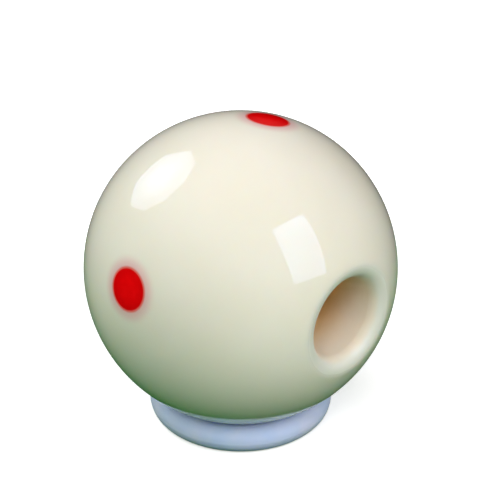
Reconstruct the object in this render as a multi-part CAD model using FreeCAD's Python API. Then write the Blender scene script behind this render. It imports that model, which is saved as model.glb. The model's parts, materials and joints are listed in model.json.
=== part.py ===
import FreeCAD, Part
import math
import os

from FreeCAD import Placement, Rotation, Vector

# Practice cue ball with a through bore, seated on a soft rest ring.
#
# The ball is cast phenolic resin, turned and polished to the size of a pool cue ball. A plain
# bore runs right through its centre for a cue to stroke through, and both mouths of the bore
# are rounded over into the ball's surface. Four red dots of the same resin are let into drilled
# pockets, a quarter turn apart on the great circle square to the bore, and ground flush. The
# ball sits on a loose ring of silicone cord, which keeps it from rolling and lets it turn.
#
# Millimetres, +Z up. The origin is on the table, under the middle of the ring and the ball.
# The bore runs along Y. Its mouths face -Y and +Y.

# ---- driving dimensions ----------------------------------------------------------------------

ball_diameter = 57.15          # 2 1/4 inch, the pool ball standard
bore_diameter = 15.0           # passes a cue shaft of 12 to 13 mm
lip_rounding = 2.5             # radius that rounds each mouth of the bore into the ball
dot_diameter = 7.5             # a red dot, and the pocket that it fills
dot_depth = 3.0                # a dot at its full diameter, above its drill point
drill_point_angle = 118.0      # degrees, the cone at the foot of a drilled pocket
dot_turn = 14.0                # degrees that the cross of dots stands turned about the bore
ring_inner_diameter = 24.0     # rest ring, across its hole
ring_cord_diameter = 5.0       # rest ring, the thickness of its round section
seat_gap = 0.15                # between the ball and the ring, where the silicone would give

# ---- sizes that follow -----------------------------------------------------------------------

ball_radius = ball_diameter / 2
bore_radius = bore_diameter / 2
dot_radius = dot_diameter / 2
ring_cord_radius = ring_cord_diameter / 2
ring_centreline_radius = ring_inner_diameter / 2 + ring_cord_radius

# A lip's arc touches the bore's wall on one side and the ball's surface on the other, so its
# centre is one rounding outside the wall and one rounding inside the ball.
lip_centre_radius = bore_radius + lip_rounding
lip_centre_reach = math.sqrt((ball_radius - lip_rounding) ** 2 - lip_centre_radius ** 2)
mouth_angle = math.degrees(math.atan2(lip_centre_reach, lip_centre_radius))

# The ball's centre stands above the ring's, as far as leaves the two sections the gap apart.
seat_reach = ball_radius + seat_gap + ring_cord_radius
ball_centre_height = ring_cord_radius + math.sqrt(seat_reach ** 2 - ring_centreline_radius ** 2)

middle = Vector(0, 0, 0)
along_bore = Vector(0, 1, 0)

# The dots, each in degrees about the bore from the top of the cross towards +X.
dot_places = {
    "red_dot_top": 0.0,
    "red_dot_right": 90.0,
    "red_dot_bottom": 180.0,
    "red_dot_left": 270.0,
}
seam_place = 45.0              # the revolved surface closes midway between two dots


def turned_about_bore(degrees):
    """The placement that carries straight up towards +X by that many degrees."""
    return Placement(middle, Rotation(along_bore, degrees))


def on_circle(centre, radius, degrees):
    """A point on a circle in the Y-Z plane, counted from +Z towards +Y."""
    angle = math.radians(degrees)
    return centre + Vector(0, radius * math.sin(angle), radius * math.cos(angle))


def arc_on_circle(centre, radius, start, end):
    """The arc of that circle from one angle to the other, by way of the angle between them."""
    points = [on_circle(centre, radius, degrees) for degrees in (start, (start + end) / 2, end)]
    return Part.Arc(*points).toShape()


def ball_blank():
    """The bored ball before its pockets are drilled, as it would leave the lathe."""
    lip_centre = Vector(0, lip_centre_reach, lip_centre_radius)
    far_lip_centre = Vector(0, -lip_centre_reach, lip_centre_radius)
    wall_end = on_circle(lip_centre, lip_rounding, 180.0)
    far_wall_end = on_circle(far_lip_centre, lip_rounding, -180.0)
    profile = [
        Part.LineSegment(far_wall_end, wall_end).toShape(),
        arc_on_circle(lip_centre, lip_rounding, 180.0, mouth_angle),
        arc_on_circle(middle, ball_radius, mouth_angle, -mouth_angle),
        arc_on_circle(far_lip_centre, lip_rounding, -mouth_angle, -180.0),
    ]
    section = Part.Face(Part.Wire(profile))
    section.Placement = turned_about_bore(dot_turn + seam_place)
    return section.revolve(middle, along_bore, 360.0)


def pocket_drill(place):
    """The drill at a dot's place: its cone, then its full diameter to outside the ball."""
    floor = ball_radius - dot_depth
    point_length = dot_radius / math.tan(math.radians(drill_point_angle / 2))
    point = Part.makeCone(0.0, dot_radius, point_length, Vector(0, 0, floor - point_length))
    shank = Part.makeCylinder(dot_radius, 2 * dot_depth, Vector(0, 0, floor))
    drill = point.fuse(shank).removeSplitter()
    drill.Placement = turned_about_bore(dot_turn + place)
    return drill


def ball_body():
    body = ball_blank()
    for place in dot_places.values():
        body = body.cut(pocket_drill(place))
    return body


def red_dot(place):
    """The resin that fills one pocket, ground flush with the ball."""
    return pocket_drill(place).common(Part.makeSphere(ball_radius))


def rest_ring():
    return Part.makeTorus(ring_centreline_radius, ring_cord_radius, Vector(0, 0, ring_cord_radius))


def seated(shape):
    """A piece of the ball, modelled about the ball's centre, raised to where the ring holds it."""
    raised = shape.copy()
    raised.translate(Vector(0, 0, ball_centre_height))
    return raised


def main():
    pieces = {"rest_ring": rest_ring(), "ball_body": seated(ball_body())}
    for name, place in dot_places.items():
        pieces[name] = seated(red_dot(place))

    os.makedirs("parts", exist_ok=True)
    for name, shape in pieces.items():
        if len(shape.Solids) != 1 or not shape.isValid():
            raise ValueError(f"{name} is {len(shape.Solids)} solids, valid: {shape.isValid()}")
        solid = shape.Solids[0]
        solid.exportStep(f"parts/{name}.step")
        print(f"{name}: {solid.Volume:.1f} mm3")

    print(f"bore wall: {2 * lip_centre_reach:.4f} mm long")
    print(f"ball centre: {ball_centre_height:.4f} mm above the table")


main()
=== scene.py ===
import json
import math

import bmesh
import bpy
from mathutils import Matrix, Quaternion, Vector


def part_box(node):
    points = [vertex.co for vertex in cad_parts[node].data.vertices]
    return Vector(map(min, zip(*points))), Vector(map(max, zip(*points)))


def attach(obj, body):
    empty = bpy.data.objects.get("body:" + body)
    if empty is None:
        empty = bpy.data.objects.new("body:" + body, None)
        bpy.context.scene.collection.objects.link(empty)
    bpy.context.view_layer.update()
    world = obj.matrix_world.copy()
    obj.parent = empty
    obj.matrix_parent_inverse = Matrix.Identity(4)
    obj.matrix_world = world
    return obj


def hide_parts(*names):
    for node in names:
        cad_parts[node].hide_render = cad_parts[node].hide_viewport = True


# A practice cue ball of polished phenolic resin, bored through for a cue, with four flush red
# dots. It sits on a ring of frosted silicone cord. Metres, in the frame of the CAD model: +Z up,
# the table at 0, the bore along Y.

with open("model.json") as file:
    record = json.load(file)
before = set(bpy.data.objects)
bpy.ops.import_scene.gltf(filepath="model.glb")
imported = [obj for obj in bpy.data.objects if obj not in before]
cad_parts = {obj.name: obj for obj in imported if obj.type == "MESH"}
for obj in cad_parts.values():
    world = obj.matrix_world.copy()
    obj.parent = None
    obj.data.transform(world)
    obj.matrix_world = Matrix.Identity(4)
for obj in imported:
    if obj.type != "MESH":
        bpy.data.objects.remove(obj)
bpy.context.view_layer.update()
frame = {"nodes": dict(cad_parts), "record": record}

MM = 0.001

# ---- sizes and places, all from the frame ----------------------------------------------------

bore_mount = next(m for m in frame["record"]["mounts"] if m["name"] == "cue_bore")
bore_axis = -Vector(bore_mount["axis"])
bore_radius = bore_mount["dims"]["r_mm"] * MM
half_wall = bore_mount["dims"]["length_mm"] * MM / 2
ball_centre = Vector(bore_mount["pos_m"])

ball_low, ball_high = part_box("ball_body")
ball_radius = (ball_high.x - ball_low.x) / 2

# The lip's rounding is the one arc that touches the end of the wall and the ball's surface.
lip_rounding = (ball_radius**2 - bore_radius**2 - half_wall**2) / (2 * (ball_radius + bore_radius))
mouth_angle = math.atan2(bore_radius + lip_rounding, half_wall)
mouth_radius = ball_radius * math.sin(mouth_angle)

DOTS = ("red_dot_top", "red_dot_right", "red_dot_bottom", "red_dot_left")
DRILL_POINT_ANGLE = math.radians(118)
dot_low, dot_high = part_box("red_dot_top")
dot_radius = (dot_high.y - dot_low.y) / 2
dot_angle = math.asin(dot_radius / ball_radius)


def drill_tip(dot):
    """The point of a dot's pocket, from the ball's centre. It is the dot's nearest point to it."""
    points = [vertex.co - ball_centre for vertex in frame["nodes"][dot].data.vertices]
    return min(points, key=lambda point: point.length)


tips = {dot: drill_tip(dot) for dot in DOTS}
tip_reach = tips["red_dot_top"].length
pocket_floor = tip_reach + dot_radius / math.tan(DRILL_POINT_ANGLE / 2)
cross_up = tips["red_dot_top"].normalized()
cross_side = bore_axis.cross(cross_up).normalized()
dot_turn = math.atan2(cross_up.x, cross_up.z)

ring_low, ring_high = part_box("rest_ring")
ring_cord_radius = (ring_high.z - ring_low.z) / 2
ring_radius = (ring_high.x - ring_low.x) / 2 - ring_cord_radius
ring_centre = (ring_low + ring_high) / 2

# ---- mesh work -------------------------------------------------------------------------------

SEGMENTS = 192                 # round each dot, mouth, bore and ring
PANEL_ROWS = 26                # from a dot's or a mouth's edge to the next panel
LIP_ROWS = 14                  # over a lip's rounding
WALL_ROWS = 20                 # along the bore
DOT_ROWS = 10                  # from a dot's middle to its rim
CORD_ROWS = 72                 # round the ring's section
WELD_DISTANCE = 0.002 * MM     # closes the seams between panels

FLASH_HEIGHT = 0.06 * MM       # the thin ridge that a mould's two halves leave round the ring
FLASH_WIDTH = 0.30 * MM


def turns_round():
    """The angles of a full row of points."""
    return [2 * math.pi * k / SEGMENTS for k in range(SEGMENTS)]


def circle(centre, first, second, radius):
    """Points round a circle, counted from the first direction to the second."""
    return [centre + radius * (math.cos(t) * first + math.sin(t) * second) for t in turns_round()]


def panel_row(axis, first, second, inner_angle, share):
    """A row round an axis of the ball, that share of the way from a circle to the panel's edge.

    The ball's skin is six panels, one for each end of three square axes, like a cube's sides
    blown out to the ball. Every point of a row is on the ball.
    """
    row = []
    for turn in turns_round():
        side = max(abs(math.cos(turn)), abs(math.sin(turn)))
        edge_angle = math.atan(1 / side)
        angle = inner_angle + share * (edge_angle - inner_angle)
        outward = math.cos(turn) * first + math.sin(turn) * second
        row.append(ball_radius * (math.cos(angle) * axis + math.sin(angle) * outward))
    return row


def panel_rows(axis, first, second, inner_angle):
    """All the rows of a panel, from the circle in its middle out to its edge."""
    shares = [row / PANEL_ROWS for row in range(PANEL_ROWS + 1)]
    return [panel_row(axis, first, second, inner_angle, share) for share in shares]


def lip_rows(axis):
    """Rows round one mouth, from the ball's surface over the rounding to the bore's wall."""
    rows = []
    for row in range(1, LIP_ROWS + 1):
        lean = mouth_angle - (mouth_angle + math.pi / 2) * row / LIP_ROWS
        radius = bore_radius + lip_rounding + lip_rounding * math.sin(lean)
        reach = half_wall + lip_rounding * math.cos(lean)
        rows.append(circle(reach * axis, cross_side, cross_up, radius))
    return rows


def wall_rows():
    """Rows along the bore's wall, between its two ends."""
    reaches = [half_wall * (1 - 2 * row / WALL_ROWS) for row in range(1, WALL_ROWS)]
    return [circle(reach * bore_axis, cross_side, cross_up, bore_radius) for reach in reaches]


def pocket_foot(axis, first, second):
    """The foot of a pocket's wall, a circle below the rim."""
    return circle(pocket_floor * axis, first, second, dot_radius)


def add_rows(mesh, rows):
    """Joins rows of points into a skin, and returns its first and last rows of vertices."""
    loops = [[mesh.verts.new(point) for point in row] for row in rows]
    for near, far in zip(loops, loops[1:]):
        for k in range(len(near)):
            after = (k + 1) % len(near)
            mesh.faces.new((near[k], near[after], far[after], far[k]))
    return loops[0], loops[-1]


def close_to_point(mesh, loop, point):
    """Closes a row onto one point."""
    tip = mesh.verts.new(point)
    for k in range(len(loop)):
        mesh.faces.new((loop[k], loop[(k + 1) % len(loop)], tip))


def sharpen(loop):
    """Marks the edges along a row as sharp, so that the shading breaks there."""
    for k in range(len(loop)):
        for edge in loop[k].link_edges:
            if edge.other_vert(loop[k]) is loop[(k + 1) % len(loop)]:
                edge.smooth = False


def finished_object(name, mesh, centre):
    """The mesh as an object, closed, smooth and set down round a centre."""
    bmesh.ops.remove_doubles(mesh, verts=mesh.verts, dist=WELD_DISTANCE)
    bmesh.ops.recalc_face_normals(mesh, faces=mesh.faces)
    for face in mesh.faces:
        face.smooth = True
    bmesh.ops.translate(mesh, verts=mesh.verts, vec=centre)
    data = bpy.data.meshes.new(name)
    mesh.to_mesh(data)
    mesh.free()
    piece = bpy.data.objects.new(name, data)
    bpy.context.scene.collection.objects.link(piece)
    return piece


def dot_directions(dot):
    """A dot's own axis, and the two directions square to it that its rows are counted from."""
    axis = tips[dot].normalized()
    return axis, bore_axis, axis.cross(bore_axis)


def make_ball():
    """The ball's skin, its bore with both lips, and the four drilled pockets."""
    mesh = bmesh.new()
    near = panel_rows(bore_axis, cross_side, cross_up, mouth_angle)
    far = panel_rows(-bore_axis, cross_side, cross_up, mouth_angle)
    through = lip_rows(bore_axis) + wall_rows() + lip_rows(-bore_axis)[::-1]
    add_rows(mesh, near[::-1] + through + far)
    for dot in DOTS:
        axis, first, second = dot_directions(dot)
        skin = panel_rows(axis, first, second, dot_angle)
        rim, _ = add_rows(mesh, skin)
        top, foot = add_rows(mesh, [skin[0], pocket_foot(axis, first, second)])
        for loop in (rim, top, foot):
            sharpen(loop)
        close_to_point(mesh, foot, tip_reach * axis)
    return finished_object("polished_ball", mesh, ball_centre)


def make_dot(dot):
    """A dot, from its face, flush with the ball, down to the drill point that it fills."""
    mesh = bmesh.new()
    axis, first, second = dot_directions(dot)
    face = []
    for row in range(1, DOT_ROWS + 1):
        angle = dot_angle * row / DOT_ROWS
        centre = ball_radius * math.cos(angle) * axis
        face.append(circle(centre, first, second, ball_radius * math.sin(angle)))
    inner, rim = add_rows(mesh, face)
    close_to_point(mesh, inner, ball_radius * axis)
    top, foot = add_rows(mesh, [face[-1], pocket_foot(axis, first, second)])
    for loop in (rim, top, foot):
        sharpen(loop)
    close_to_point(mesh, foot, tip_reach * axis)
    return finished_object(f"inset_{dot}", mesh, ball_centre)


def make_ring():
    """The cord's section swept round, with the mould's ridge along its outside and inside."""
    mesh = bmesh.new()
    rows = []
    for row in range(CORD_ROWS + 1):
        turn = 2 * math.pi * row / CORD_ROWS
        off_ridge = ring_cord_radius * abs(math.sin(turn))
        ridge = FLASH_HEIGHT * math.exp(-((2 * off_ridge / FLASH_WIDTH) ** 2))
        reach = ring_cord_radius + ridge
        centre = Vector((0, 0, reach * math.sin(turn)))
        radius = ring_radius + reach * math.cos(turn)
        rows.append(circle(centre, Vector((1, 0, 0)), Vector((0, 1, 0)), radius))
    add_rows(mesh, rows)
    return finished_object("silicone_ring", mesh, ring_centre)


# ---- materials -------------------------------------------------------------------------------


def paint(hex_colour):
    """An sRGB hex colour, such as "#C0FFEE", as the linear colour that a shader takes."""
    parts = [int(hex_colour[k:k + 2], 16) / 255 for k in (1, 3, 5)]
    linear = [p / 12.92 if p <= 0.04045 else ((p + 0.055) / 1.055) ** 2.4 for p in parts]
    return (*linear, 1.0)


def add(tree, kind, inputs=None, **settings):
    """One node with its settings and links.

    An input goes by its number, or by its name among those in use. It is given a value, another
    node's output, or another node, which stands for the first of its outputs in use.
    """
    node = tree.nodes.new(kind)
    for name, value in settings.items():
        setattr(node, name, value)
    in_use = {socket.name: socket for socket in node.inputs if socket.enabled}
    for name, value in (inputs or {}).items():
        socket = node.inputs[name] if isinstance(name, int) else in_use[name]
        if isinstance(value, bpy.types.Node):
            value = next(output for output in value.outputs if output.enabled)
        if isinstance(value, bpy.types.NodeSocket):
            tree.links.new(value, socket)
        else:
            socket.default_value = value
    return node


def new_material(name):
    """A material with an empty node tree, and that tree."""
    material = bpy.data.materials.new(name)
    material.use_nodes = True
    material.node_tree.nodes.clear()
    return material, material.node_tree


def soft_clouds(tree, point, size, low, high):
    """Soft clouds of a given size, as levels between low and high."""
    noise = add(tree, "ShaderNodeTexNoise", {
        "Vector": point, "Scale": 1 / size, "Detail": 2.0, "Roughness": 0.5})
    return add(tree, "ShaderNodeMapRange", {
        "Value": noise, "From Min": 0.3, "From Max": 0.7, "To Min": low, "To Max": high})


def ball_directions(tree):
    """A point from the ball's own centre, with its cross of dots upright."""
    place = add(tree, "ShaderNodeTexCoord").outputs["Object"]
    return add(tree, "ShaderNodeMapping", {
        "Vector": place, "Location": ball_centre, "Rotation": (0, dot_turn, 0)},
        vector_type="TEXTURE")


def angle_from_dot(tree, point):
    """The angle at the ball's centre between a point and the nearest dot's middle."""
    axes = add(tree, "ShaderNodeSeparateXYZ", {0: point})
    side = add(tree, "ShaderNodeMath", {0: axes.outputs["X"]}, operation="ABSOLUTE")
    up = add(tree, "ShaderNodeMath", {0: axes.outputs["Z"]}, operation="ABSOLUTE")
    most = add(tree, "ShaderNodeMath", {0: side, 1: up}, operation="MAXIMUM")
    length = add(tree, "ShaderNodeVectorMath", {0: point}, operation="LENGTH")
    cosine = add(tree, "ShaderNodeMath", {0: most, 1: length}, operation="DIVIDE")
    return add(tree, "ShaderNodeMath", {0: cosine}, operation="ARCCOSINE")


def distance_from_bore(tree, point):
    """How far a point is from the bore's own line."""
    across = add(tree, "ShaderNodeVectorMath", {0: point, 1: (1, 0, 1)}, operation="MULTIPLY")
    return add(tree, "ShaderNodeVectorMath", {0: across}, operation="LENGTH")


def distance_along_bore(tree, point):
    """How far a point is from the ball's middle, along the bore, either way."""
    along = add(tree, "ShaderNodeVectorMath", {0: point, 1: (0, 1, 0)}, operation="MULTIPLY")
    return add(tree, "ShaderNodeVectorMath", {0: along}, operation="LENGTH")


RESIN_IOR = 1.6                # phenolic resin
SILICONE_IOR = 1.41
FEED_RING_SPACING = 0.8 * MM   # drawn coarser: a drill's feed rings are 0.1 mm apart
WAVE_PERIODS = 20              # a Wave node's bands in 2 pi metres, at a scale of 1
MOULD_GRAIN = 0.3 * MM         # drawn coarser: a blasted mould's grain is 0.12 mm
SATIN = 0.32                   # roughness that the unbuffed lip and bore have over the ball
EVEN_GLOW = 3.1                # the evenly lit softbox, as its reflection shows it


def cream_resin():
    """Phenolic resin, cast, turned and buffed: a wet gloss on a milky body.

    Light goes a millimetre or two into it, so edges and the lips look soft, and each dot has a
    pink bloom round it. The bore is only drilled, so its wall is matt and turned with fine
    rings; its warmer colour is painted shade and warm bounce light.
    """
    material, tree = new_material("cream phenolic resin, cast and buffed")
    point = ball_directions(tree)
    angle = angle_from_dot(tree, point)
    from_bore = distance_from_bore(tree, point)
    along_bore = distance_along_bore(tree, point)

    # Clouds 14 mm across: a casting's colour is never quite even.
    clouds = soft_clouds(tree, point, 14 * MM, 0.0, 1.0)
    body = add(tree, "ShaderNodeMix", {
        "Factor": clouds, "A": paint("#F3EEDD"), "B": paint("#F6F1E3")}, data_type="RGBA")

    # Red light creeps 3 mm from a dot, and most of it stays within 0.6 mm of the rim.
    bloom = add(tree, "ShaderNodeMapRange", {
        "Value": angle, "From Min": dot_angle, "From Max": dot_angle + 3.0 * MM / ball_radius,
        "To Min": 0.68, "To Max": 0.0}, interpolation_type="SMOOTHERSTEP")
    body = add(tree, "ShaderNodeMix", {
        "Factor": bloom, "A": body, "B": paint("#EDB4B6")}, data_type="RGBA")
    flush = add(tree, "ShaderNodeMapRange", {
        "Value": angle, "From Min": dot_angle, "From Max": dot_angle + 0.6 * MM / ball_radius,
        "To Min": 1.0, "To Max": 0.0}, interpolation_type="SMOOTHERSTEP")
    body = add(tree, "ShaderNodeMix", {
        "Factor": flush, "A": body, "B": paint("#FF7166")}, data_type="RGBA")

    # The lip is cut and left unbuffed, so it is whiter than the ball and only satin.
    on_lip = add(tree, "ShaderNodeMapRange", {
        "Value": from_bore, "From Min": mouth_radius - 1.9 * MM,
        "From Max": mouth_radius + 1.1 * MM, "To Min": 1.0, "To Max": 0.0},
        interpolation_type="SMOOTHERSTEP")
    body = add(tree, "ShaderNodeMix", {
        "Factor": on_lip, "A": body, "B": paint("#E9E9DE")}, data_type="RGBA")

    # The bore's wall is painted shade and warm bounce light: warm cream at its edge, turning
    # amber over the first 14 mm in and staying so deeper.
    painted_shade_depth = add(tree, "ShaderNodeMapRange", {
        "Value": along_bore, "From Min": half_wall - 14 * MM, "From Max": half_wall,
        "To Min": 1.0, "To Max": 0.0}, interpolation_type="SMOOTHERSTEP")
    wall = add(tree, "ShaderNodeMix", {
        "Factor": painted_shade_depth, "A": paint("#EDE3D0"), "B": paint("#F4C678")}, data_type="RGBA")
    in_bore = add(tree, "ShaderNodeMapRange", {
        "Value": from_bore, "From Min": bore_radius + 0.1 * MM, "From Max": bore_radius + 1.3 * MM,
        "To Min": 1.0, "To Max": 0.0}, interpolation_type="SMOOTHERSTEP")
    body = add(tree, "ShaderNodeMix", {
        "Factor": in_bore, "A": body, "B": wall}, data_type="RGBA")

    # Buffing leaves the gloss very slightly uneven, in patches of about 3 mm.
    gloss = soft_clouds(tree, point, 3 * MM, 0.02, 0.05)
    satin = add(tree, "ShaderNodeMath", {0: on_lip, 1: SATIN}, operation="MULTIPLY")
    roughness = add(tree, "ShaderNodeMath", {0: gloss, 1: satin}, operation="ADD")

    # The drill's feed rings, only inside the bore.
    rings = add(tree, "ShaderNodeTexWave", {
        "Vector": point, "Scale": 2 * math.pi / (WAVE_PERIODS * FEED_RING_SPACING)},
        bands_direction="Y")
    ring_height = add(tree, "ShaderNodeMath", {0: rings.outputs[1], 1: in_bore},
                      operation="MULTIPLY")
    relief = add(tree, "ShaderNodeBump", {
        "Height": ring_height, "Strength": 0.3, "Distance": 0.02 * MM})

    shader = add(tree, "ShaderNodeBsdfPrincipled", {
        "Base Color": body, "Roughness": roughness, "Normal": relief, "IOR": RESIN_IOR,
        "Subsurface Weight": 0.35, "Subsurface Radius": (1.0, 0.75, 0.5),
        "Subsurface Scale": 1.8 * MM})
    add(tree, "ShaderNodeOutputMaterial", {"Surface": shader})
    return material


def red_resin():
    """The same resin in red, ground and buffed with the ball, so its gloss runs on unbroken."""
    material, tree = new_material("red phenolic resin, cast and buffed")
    point = ball_directions(tree)
    angle = angle_from_dot(tree, point)
    clouds = soft_clouds(tree, point, 1.2 * MM, 0.0, 1.0)
    body = add(tree, "ShaderNodeMix", {
        "Factor": clouds, "A": paint("#F9050A"), "B": paint("#FF090E")}, data_type="RGBA")

    # Light that goes into the middle comes out again, and near the rim more of it is lost.
    outer = add(tree, "ShaderNodeMapRange", {
        "Value": angle, "From Min": 0.3 * dot_angle, "From Max": dot_angle,
        "To Min": 0.0, "To Max": 0.6}, interpolation_type="SMOOTHERSTEP")
    body = add(tree, "ShaderNodeMix", {
        "Factor": outer, "A": body, "B": paint("#E20307")}, data_type="RGBA")

    # The rim, where the milky resin meets it, is lighter over 0.2 mm.
    rim = add(tree, "ShaderNodeMapRange", {
        "Value": angle, "From Min": dot_angle - 0.2 * MM / ball_radius, "From Max": dot_angle,
        "To Min": 0.0, "To Max": 0.7}, interpolation_type="SMOOTHERSTEP")
    body = add(tree, "ShaderNodeMix", {
        "Factor": rim, "A": body, "B": paint("#F4645E")}, data_type="RGBA")

    gloss = soft_clouds(tree, point, 3 * MM, 0.02, 0.05)
    shader = add(tree, "ShaderNodeBsdfPrincipled", {
        "Base Color": body, "Roughness": gloss, "IOR": RESIN_IOR, "Subsurface Weight": 0.1,
        "Subsurface Radius": (1.0, 0.2, 0.2), "Subsurface Scale": 0.8 * MM})
    add(tree, "ShaderNodeOutputMaterial", {"Surface": shader})
    return material


def frosted_silicone():
    """Silicone rubber from a blasted mould: no gloss, milky blue, and lighter where it is thin."""
    material, tree = new_material("pale blue silicone rubber, moulded")
    place = add(tree, "ShaderNodeTexCoord").outputs["Object"]
    clouds = soft_clouds(tree, place, 5 * MM, 0.0, 1.0)
    body = add(tree, "ShaderNodeMix", {
        "Factor": clouds, "A": paint("#BFD0FC"), "B": paint("#CFD6FB")}, data_type="RGBA")

    grain = add(tree, "ShaderNodeTexNoise", {
        "Vector": place, "Scale": 1 / MOULD_GRAIN, "Detail": 1.0})
    relief = add(tree, "ShaderNodeBump", {
        "Height": grain, "Strength": 0.35, "Distance": 0.04 * MM})

    # Dust clings to silicone in patches of 1.5 mm, which dulls it unevenly.
    dust = soft_clouds(tree, place, 1.5 * MM, 0.42, 0.56)
    shader = add(tree, "ShaderNodeBsdfPrincipled", {
        "Base Color": body, "Roughness": dust, "Normal": relief, "IOR": SILICONE_IOR,
        "Subsurface Weight": 0.8, "Subsurface Radius": (1.0, 1.0, 1.2),
        "Subsurface Scale": 3 * MM})
    add(tree, "ShaderNodeOutputMaterial", {"Surface": shader})
    return material


def backdrop_paper():
    """Matt white background paper, with the faint tooth of its surface.

    Its far part is lit by lamps of its own, so it stays white right to the horizon.
    """
    material, tree = new_material("white background paper")
    place = add(tree, "ShaderNodeTexCoord").outputs["Object"]
    tooth = soft_clouds(tree, place, 60 * MM, 0.0, 1.0)
    colour = add(tree, "ShaderNodeMix", {
        "Factor": tooth, "A": paint("#FBFBFA"), "B": paint("#FDFDFC")}, data_type="RGBA")
    away = add(tree, "ShaderNodeVectorMath", {0: place}, operation="LENGTH")
    own_light = add(tree, "ShaderNodeMapRange", {
        "Value": away, "From Min": 0.15, "From Max": 1.2, "To Min": 0.45, "To Max": 1.0},
        interpolation_type="SMOOTHERSTEP")
    shader = add(tree, "ShaderNodeBsdfPrincipled", {
        "Base Color": colour, "Roughness": 0.9, "Emission Color": paint("#FFFFFF"),
        "Emission Strength": own_light})
    add(tree, "ShaderNodeOutputMaterial", {"Surface": shader})
    return material


def billiard_cloth():
    """Green woollen cloth, matt and napped."""
    material, tree = new_material("green billiard cloth")
    place = add(tree, "ShaderNodeTexCoord").outputs["Object"]
    nap = soft_clouds(tree, place, 8 * MM, 0.0, 1.0)
    colour = add(tree, "ShaderNodeMix", {
        "Factor": nap, "A": paint("#046213"), "B": paint("#0A6819")}, data_type="RGBA")
    shader = add(tree, "ShaderNodeBsdfPrincipled", {"Base Color": colour, "Roughness": 0.95})
    add(tree, "ShaderNodeOutputMaterial", {"Surface": shader})
    return material


def even_diffuser():
    """A softbox's white front cloth, lit evenly, and brighter along its top and sides."""
    material, tree = new_material("white diffuser cloth, evenly lit")
    place = add(tree, "ShaderNodeTexCoord").outputs["Object"]
    axes = add(tree, "ShaderNodeSeparateXYZ", {0: place})
    top = add(tree, "ShaderNodeMapRange", {
        "Value": axes.outputs["Y"], "From Min": 0.165, "From Max": 0.19,
        "To Min": 0.0, "To Max": 0.25}, interpolation_type="SMOOTHERSTEP")
    off_middle = add(tree, "ShaderNodeMath", {0: axes.outputs["X"]}, operation="ABSOLUTE")
    sides = add(tree, "ShaderNodeMapRange", {
        "Value": off_middle, "From Min": 0.17, "From Max": 0.18,
        "To Min": 0.0, "To Max": 0.12}, interpolation_type="SMOOTHERSTEP")
    brighter = add(tree, "ShaderNodeMath", {0: top, 1: sides}, operation="MAXIMUM")
    level = add(tree, "ShaderNodeMath", {0: brighter, 1: 1.0}, operation="ADD")
    strength = add(tree, "ShaderNodeMath", {0: level, 1: EVEN_GLOW}, operation="MULTIPLY")
    glow = add(tree, "ShaderNodeEmission", {"Color": paint("#BACDFF"), "Strength": strength})
    add(tree, "ShaderNodeOutputMaterial", {"Surface": glow})
    return material


def hot_diffuser():
    """An eight-sided softbox's front cloth, hot in the middle and dimmer towards its rim."""
    material, tree = new_material("white diffuser cloth, hot in the middle")
    place = add(tree, "ShaderNodeTexCoord").outputs["Object"]
    off_middle = add(tree, "ShaderNodeVectorMath", {0: place}, operation="LENGTH")
    strength = add(tree, "ShaderNodeMapRange", {
        "Value": off_middle, "From Min": 0.05, "From Max": 0.25, "To Min": 4.4, "To Max": 2.5},
        interpolation_type="SMOOTHERSTEP")
    glow = add(tree, "ShaderNodeEmission", {"Color": paint("#D4DEFF"), "Strength": strength})
    add(tree, "ShaderNodeOutputMaterial", {"Surface": glow})
    return material


# ---- the object ------------------------------------------------------------------------------


def fit_piece(piece, node, body, material):
    """Gives a piece its finish, sets it in a CAD node's place, and lets it move with a body."""
    piece.data.materials.append(material)
    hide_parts(node)
    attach(piece, body)


fit_piece(make_ball(), "ball_body", "ball", cream_resin())
dot_finish = red_resin()
for dot in DOTS:
    fit_piece(make_dot(dot), dot, "ball", dot_finish)
fit_piece(make_ring(), "rest_ring", "ring", frosted_silicone())

# ---- the studio ------------------------------------------------------------------------------

FLOOR_WIDTH = 8.0              # far past the edges of any view
NEAR_CLOTH_WIDTH = 0.17        # what the ball's gloss sees of the cloth
ROUND_CORNERS = 96             # enough for a sheet to look round
CLOTH_SINK = 0.2 * MM          # keeps the cloths just under the paper


def flat_sheet(name, corners, width, height, material):
    """A flat sheet with that many corners, not attached to any of the object's bodies."""
    reach = 0.5 / math.cos(math.pi / corners)
    turns = [2 * math.pi * (k + 0.5) / corners for k in range(corners)]
    points = [(width * reach * math.cos(t), height * reach * math.sin(t), 0) for t in turns]
    data = bpy.data.meshes.new(name)
    data.from_pydata(points, [], [range(corners)])
    data.materials.append(material)
    sheet = bpy.data.objects.new(name, data)
    bpy.context.scene.collection.objects.link(sheet)
    return sheet


def aim_at_ball(thing, azimuth, elevation, distance, roll=0.0):
    """Stands a lamp, a panel or the camera that far from the ball's centre, facing it.

    Azimuth is in degrees from -Y towards +X.
    """
    turn, rise = math.radians(azimuth), math.radians(elevation)
    outward = Vector((math.sin(turn) * math.cos(rise), -math.cos(turn) * math.cos(rise),
                      math.sin(rise)))
    thing.location = ball_centre + distance * outward
    thing.rotation_mode = "QUATERNION"
    rolled = Quaternion((0, 0, 1), math.radians(roll))
    thing.rotation_quaternion = outward.to_track_quat("Z", "Y") @ rolled


def softbox(name, width, height, watts, colour="#FFFFFF", **place):
    """The light of a softbox, which the ball's gloss doesn't see. Sizes in metres."""
    lamp = bpy.data.lights.new(name, "AREA")
    lamp.shape = "RECTANGLE"
    lamp.size = width
    lamp.size_y = height
    lamp.energy = watts
    lamp.color = paint(colour)[:3]
    light = bpy.data.objects.new(name, lamp)
    light.visible_glossy = False
    aim_at_ball(light, **place)
    bpy.context.scene.collection.objects.link(light)


def softbox_front(name, corners, width, height, material, **place):
    """The lit cloth of a softbox, which only the ball's gloss sees."""
    panel = flat_sheet(name, corners, width, height, material)
    aim_at_ball(panel, **place)
    panel.visible_camera = False
    panel.visible_diffuse = False
    panel.visible_shadow = False


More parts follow.
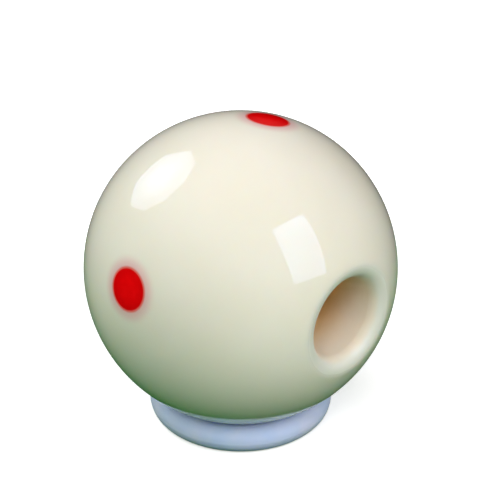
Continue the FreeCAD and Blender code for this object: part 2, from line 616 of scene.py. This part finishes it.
def lay_floor():
    """Paper for the camera to see, and two cloths under it that only light the ball.

    The cloth shades the ball's underside green-grey, as a table does. The ball's gloss meets cloth
    only near the ball, then the softboxes and a dim room, so the dots stay a clean red.
    """
    floor = flat_sheet("floor", ROUND_CORNERS, FLOOR_WIDTH, FLOOR_WIDTH, backdrop_paper())
    floor.visible_diffuse = False
    floor.visible_glossy = False
    floor.visible_shadow = False
    wide = flat_sheet("billiard_cloth", ROUND_CORNERS, FLOOR_WIDTH, FLOOR_WIDTH, billiard_cloth())
    wide.visible_glossy = False
    near = flat_sheet("billiard_cloth_near_the_ball", ROUND_CORNERS, NEAR_CLOTH_WIDTH,
                      NEAR_CLOTH_WIDTH, billiard_cloth())
    near.visible_diffuse = False
    for cloth in (wide, near):
        cloth.visible_camera = False
        cloth.visible_shadow = False
        cloth.visible_transmission = False
        cloth.location.z = -CLOTH_SINK


def hang_lights():
    """Two softboxes that show in the gloss, and fills all round that don't."""
    front = {"azimuth": 8.4, "elevation": 31.6, "distance": 0.8, "roll": -6}
    back = {"azimuth": -168.7, "elevation": 37.0, "distance": 0.8}
    softbox_front("front_panel", 4, 0.40, 0.585, even_diffuser(), **front)
    softbox_front("back_panel", 8, 0.536, 0.536, hot_diffuser(), **back)
    softbox("front_softbox", 0.40, 0.585, watts=2.55, **front)
    softbox("back_softbox", 0.56, 0.56, watts=3.9, **back)
    softbox("low_right_fill", 1.0, 1.0, watts=4.5, colour="#FFFAFA",
            azimuth=30, elevation=20, distance=1.5)
    softbox("high_fill", 0.6, 0.6, watts=8.6, colour="#FFF8FD",
            azimuth=-45, elevation=45, distance=1.5)
    softbox("side_fill", 0.8, 0.8, watts=5.5, colour="#F7FFF8",
            azimuth=-75, elevation=38, distance=1.5)
    softbox("left_fill", 1.0, 1.0, watts=2.4, colour="#F7FFF8",
            azimuth=-110, elevation=30, distance=1.5)
    softbox("low_back_fill", 1.0, 0.5, watts=3.0, azimuth=135, elevation=6, distance=1.5)


def make_room():
    """White beyond the floor, and for the ball's gloss a dim room, lighter towards its ceiling."""
    world = bpy.data.worlds.new("studio")
    world.use_nodes = True
    tree = world.node_tree
    tree.nodes.clear()
    ray = add(tree, "ShaderNodeLightPath")
    towards = add(tree, "ShaderNodeTexCoord").outputs["Generated"]
    axes = add(tree, "ShaderNodeSeparateXYZ", {0: towards})
    ceiling = add(tree, "ShaderNodeMapRange", {
        "Value": axes.outputs["Z"], "From Min": 0.0, "From Max": 0.4,
        "To Min": 0.0, "To Max": 0.10}, interpolation_type="SMOOTHERSTEP")
    in_gloss = add(tree, "ShaderNodeMath", {0: ceiling, 1: ray.outputs["Is Glossy Ray"]},
                   operation="MULTIPLY")
    level = add(tree, "ShaderNodeMath", {0: in_gloss, 1: ray.outputs["Is Camera Ray"]},
                operation="ADD")
    background = add(tree, "ShaderNodeBackground", {"Color": paint("#FFFFFF"), "Strength": level})
    add(tree, "ShaderNodeOutputWorld", {"Surface": background})
    bpy.context.scene.world = world


def make_camera():
    """A long lens, looking down on the ball and half along its bore.

    The shift sets the ball a little left of the middle of the frame, and low.
    """
    camera = bpy.data.objects.new("camera", bpy.data.cameras.new("camera"))
    aim_at_ball(camera, azimuth=-45.2, elevation=30.0, distance=13 * ball_radius)
    camera.data.sensor_width = 36
    camera.data.lens = 146.7
    camera.data.shift_x = 0.0186
    camera.data.shift_y = 0.0345
    camera.data.clip_start = 0.01
    bpy.context.scene.collection.objects.link(camera)
    bpy.context.scene.camera = camera


lay_floor()
hang_lights()
make_room()
make_camera()
bpy.context.scene.view_settings.view_transform = "Standard"
